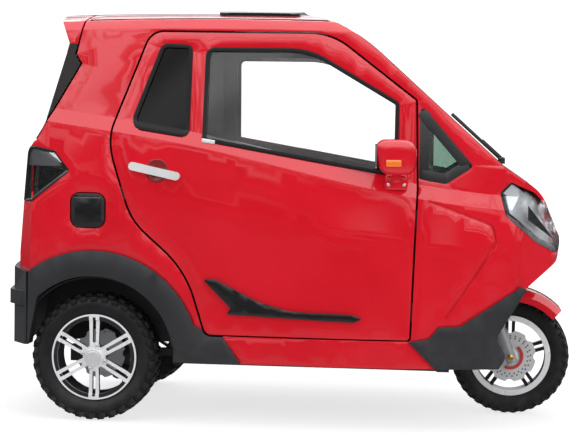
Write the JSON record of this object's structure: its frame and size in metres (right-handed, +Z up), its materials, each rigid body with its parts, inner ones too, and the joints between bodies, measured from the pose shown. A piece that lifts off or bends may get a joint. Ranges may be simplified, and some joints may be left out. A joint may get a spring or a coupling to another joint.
{
  "type": "enclosed electric tricycle",
  "caption": "Closed-cabin electric tricycle with one steered front wheel, two driven rear wheels, two front-hinged doors, a lifting tailgate and a charging flap.",
  "frame": {"origin": "on the floor below the middle of the vehicle's box", "axes": "+X forward, +Y to the vehicle's left, +Z up"},
  "size_m": [2.284, 1.4, 1.6469],
  "materials": {
    "body_red": "gloss",
    "cladding_grey": "grained",
    "liner_black": "matt",
    "black_gloss": "gloss",
    "floor_grey": "matt",
    "chassis_black": "satin",
    "axle_black": "satin",
    "spring_steel": "satin",
    "fork_silver": "satin",
    "rim_alloy": "machined",
    "tyre_rubber": "matt",
    "clear_glass": "clear",
    "tinted_glass": "tinted",
    "dark_glass": "privacy tint",
    "lamp_clear": "clear",
    "lamp_smoked": "smoked",
    "bright_chrome": "polished",
    "seat_vinyl": "grained"
  },
  "bodies": {
    "body": {"chassis_frame": "chassis_black", "floor_pan": "floor_grey", "front_bulkhead": "floor_grey", "side_frame_right": "body_red", "side_frame_left": "body_red", "roof_panel": "body_red", "sunroof_panel": "black_gloss", "front_cowl": "body_red", "windscreen": "clear_glass", "front_quarter_lights": "clear_glass", "front_lower_cladding": "cladding_grey", "rear_bumper": "cladding_grey", "sills": "body_red", "headlamps": "lamp_clear", "tail_lamps": "lamp_smoked", "dashboard": "liner_black", "driver_seat_cushion": "seat_vinyl", "driver_seat_back": "seat_vinyl", "rear_bench_cushion": "seat_vinyl", "rear_bench_back": "seat_vinyl", "battery_block": "liner_black", "rear_axle": "axle_black", "rear_springs": "spring_steel", "wheelhouses": "liner_black", "door_seals": "liner_black"},
    "door_r": {"door_right": "body_red", "door_glass_right": "tinted_glass", "door_handle_right": "bright_chrome", "door_trim_right": "cladding_grey", "mirror_right": "body_red"},
    "door_l": {"door_left": "body_red", "door_glass_left": "tinted_glass", "door_handle_left": "bright_chrome", "door_trim_left": "cladding_grey", "mirror_left": "body_red"},
    "gate": {"tailgate": "body_red", "tailgate_glass": "dark_glass", "spoiler": "body_red"},
    "flap": {"charge_flap": "liner_black"},
    "steering": {"front_fork": "fork_silver", "handlebar": "liner_black", "front_mudguard": "body_red"},
    "front_wheel": {"front_tyre": "tyre_rubber", "front_rim": "rim_alloy"},
    "rear_wheel_r": {"rear_tyre_right": "tyre_rubber", "rear_rim_right": "rim_alloy"},
    "rear_wheel_l": {"rear_tyre_left": "tyre_rubber", "rear_rim_left": "rim_alloy"}
  },
  "joints": [
    {"name": "door_right_hinge", "type": "hinge", "parent": "body", "child": "door_r", "pos_m": [0.492, -0.541, 0.6], "axis": [0, 0, 1], "range_deg": [0, 65]},
    {"name": "door_left_hinge", "type": "hinge", "parent": "body", "child": "door_l", "pos_m": [0.492, 0.541, 0.6], "axis": [0, 0, -1], "range_deg": [0, 65]},
    {"name": "tailgate_hinge", "type": "hinge", "parent": "body", "child": "gate", "pos_m": [-0.809, 0, 1.63], "axis": [0, 1, 0], "range_deg": [0, 75]},
    {"name": "charge_flap_hinge", "type": "hinge", "parent": "body", "child": "flap", "pos_m": [-0.699, -0.559, 0.835], "axis": [0, 0, 1], "range_deg": [0, 100]},
    {"name": "steering_turn", "type": "hinge", "parent": "body", "child": "steering", "pos_m": [0.8871, 0, 0.242], "axis": [-0.3584, 0, 0.9336], "range_deg": [-38, 38]},
    {"name": "front_wheel_spin", "type": "hinge", "parent": "steering", "child": "front_wheel", "pos_m": [0.9, 0, 0.242], "axis": [0, 1, 0], "continuous": true},
    {"name": "rear_wheel_right_spin", "type": "hinge", "parent": "body", "child": "rear_wheel_r", "pos_m": [-0.745, -0.456, 0.252], "axis": [0, 1, 0], "continuous": true},
    {"name": "rear_wheel_left_spin", "type": "hinge", "parent": "body", "child": "rear_wheel_l", "pos_m": [-0.745, 0.456, 0.252], "axis": [0, 1, 0], "continuous": true}
  ]
}
